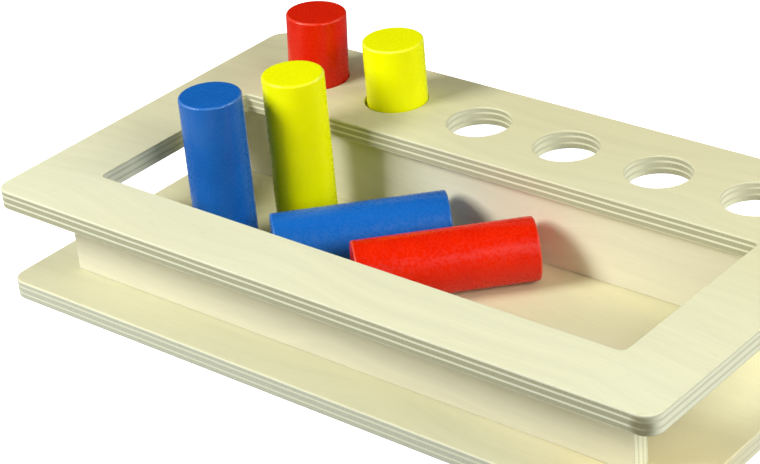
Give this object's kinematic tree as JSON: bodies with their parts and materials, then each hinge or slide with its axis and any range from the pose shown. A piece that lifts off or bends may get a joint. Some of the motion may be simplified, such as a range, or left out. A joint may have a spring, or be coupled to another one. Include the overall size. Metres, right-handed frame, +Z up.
{
  "type": "toy peg bench",
  "caption": "Low plywood bench for a toddler: two boards on two walls, a tray opening, a row of round holes and loose painted pegs.",
  "frame": {"origin": "middle of the base board's underside", "axes": "+X to the right along the long side, +Y from the front edge to the row of peg holes, +Z up"},
  "size_m": [0.35, 0.194, 0.0894],
  "materials": {
    "birch_plywood": "sanded pale plywood with a thin clear matt coat",
    "beech_dowel": "plain turned dowel",
    "red_lacquer": "turned wood in satin red lacquer",
    "yellow_lacquer": "turned wood in satin lemon yellow lacquer",
    "blue_lacquer": "turned wood in satin blue lacquer"
  },
  "bodies": {
    "bench": {"base_board": "birch_plywood", "top_board": "birch_plywood", "front_wall": "birch_plywood", "back_wall": "birch_plywood", "front_lower_dowel_1": "beech_dowel", "front_lower_dowel_2": "beech_dowel", "front_lower_dowel_3": "beech_dowel", "front_upper_dowel_1": "beech_dowel", "front_upper_dowel_2": "beech_dowel", "front_upper_dowel_3": "beech_dowel", "back_lower_dowel_1": "beech_dowel", "back_lower_dowel_2": "beech_dowel", "back_lower_dowel_3": "beech_dowel", "back_upper_dowel_1": "beech_dowel", "back_upper_dowel_2": "beech_dowel", "back_upper_dowel_3": "beech_dowel"},
    "red_peg_in_hole_body": {"red_peg_in_hole": "red_lacquer"},
    "yellow_peg_in_hole_body": {"yellow_peg_in_hole": "yellow_lacquer"},
    "blue_peg_standing_body": {"blue_peg_standing": "blue_lacquer"},
    "yellow_peg_standing_body": {"yellow_peg_standing": "yellow_lacquer"},
    "blue_peg_lying_body": {"blue_peg_lying": "blue_lacquer"},
    "red_peg_lying_body": {"red_peg_lying": "red_lacquer"}
  },
  "joints": [
    {"name": "red_in_hole_lift", "type": "slide", "parent": "bench", "child": "red_peg_in_hole_body", "axis": [0.0393, 0.0318, 0.9987], "range_m": [0, 0.052]},
    {"name": "yellow_in_hole_lift", "type": "slide", "parent": "bench", "child": "yellow_peg_in_hole_body", "axis": [0, 0, 1], "range_m": [0, 0.052]},
    {"name": "blue_standing_lift", "type": "slide", "parent": "bench", "child": "blue_peg_standing_body", "axis": [0, 0, 1], "range_m": [0, 0.052]},
    {"name": "yellow_standing_lift", "type": "slide", "parent": "bench", "child": "yellow_peg_standing_body", "axis": [0, 0, 1], "range_m": [0, 0.052]},
    {"name": "blue_lying_lift", "type": "slide", "parent": "bench", "child": "blue_peg_lying_body", "axis": [0, -0.2425, 0.9701], "range_m": [0, 0.054]},
    {"name": "red_lying_lift", "type": "slide", "parent": "bench", "child": "red_peg_lying_body", "axis": [0, -0.2425, 0.9701], "range_m": [0, 0.054]}
  ]
}
